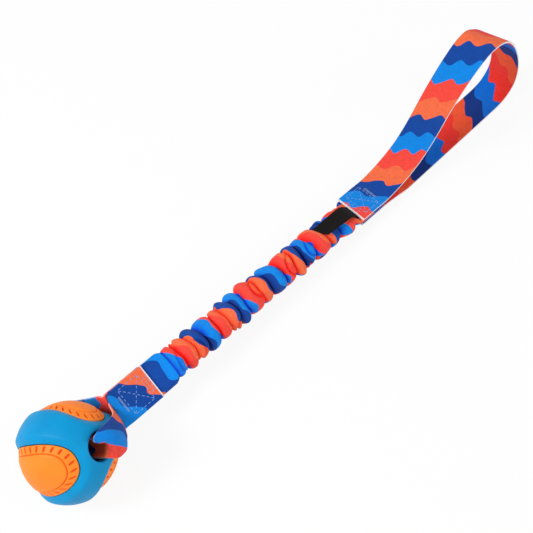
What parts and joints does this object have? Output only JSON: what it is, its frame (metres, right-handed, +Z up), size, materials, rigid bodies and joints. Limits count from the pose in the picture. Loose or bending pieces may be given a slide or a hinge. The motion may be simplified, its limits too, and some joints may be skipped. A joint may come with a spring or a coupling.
{
  "type": "bungee tug toy",
  "caption": "Dog tug toy: a hollow rubber ball on a webbing strap, a gathered stretch section round an elastic core, and a flat webbing hand loop.",
  "frame": {"origin": "on the surface it rests on, under the middle of the hand loop's flat run", "axes": "+X from the ball to the hand loop, +Z up"},
  "size_m": [0.4688, 0.0721, 0.0987],
  "materials": {
    "blue_rubber": "matt moulded rubber",
    "orange_rubber": "matt moulded rubber",
    "printed_webbing": "woven polyester webbing with a printed wavy band pattern",
    "printed_fabric": "woven polyester sleeve with the same print",
    "raw_rubber": "plain elastic cord",
    "black_fabric": "woven satin tape",
    "pale_thread": "polyester sewing thread"
  },
  "bodies": {
    "bungee": {"bungee_sleeve": "printed_fabric", "elastic_core": "raw_rubber"},
    "ball_end": {"ball_strap": "printed_webbing", "ball_end_needle_thread": "pale_thread", "ball_end_bobbin_thread": "pale_thread"},
    "ball": {"ball_shell": "blue_rubber", "ball_panel_1": "orange_rubber", "ball_panel_2": "orange_rubber", "ball_panel_3": "orange_rubber"},
    "handle_end": {"handle_tail_top": "printed_webbing", "handle_tail_bottom": "printed_webbing", "handle_end_needle_thread": "pale_thread", "handle_end_bobbin_thread": "pale_thread"},
    "handle_loop": {"handle_strap": "printed_webbing"},
    "label": {"label": "black_fabric"}
  },
  "joints": [
    {"name": "ball_end_flex", "type": "hinge", "parent": "bungee", "child": "ball_end", "pos_m": [-0.28819, 0, 0.02492], "axis": [-0.0334, -0.8846, -0.4652], "range_deg": [-90, 90], "stiffness_Nm_per_rad": 0.4, "deforming": ["bungee_sleeve", "elastic_core"]},
    {"name": "ball_spin", "type": "hinge", "parent": "ball_end", "child": "ball", "pos_m": [-0.3604, 0, 0.0301], "axis": [0.4144, -0.6308, 0.6561], "continuous": true},
    {"name": "bungee_stretch", "type": "slide", "parent": "bungee", "child": "handle_end", "axis": [0.9974, 0, -0.0715], "range_m": [0, 0.16], "stiffness_N_per_m": 150, "deforming": ["bungee_sleeve", "elastic_core"]},
    {"name": "handle_flex", "type": "hinge", "parent": "handle_end", "child": "handle_loop", "pos_m": [-0.07423, 0, 0.00959], "axis": [0, -1, 0], "range_deg": [-90, 90], "stiffness_Nm_per_rad": 0.1, "deforming": ["handle_strap"]},
    {"name": "label_flap", "type": "hinge", "parent": "handle_end", "child": "label", "pos_m": [-0.10201, -0.002, 0.01378], "axis": [0, 1, 0], "range_deg": [0, 110], "deforming": ["label"]}
  ]
}
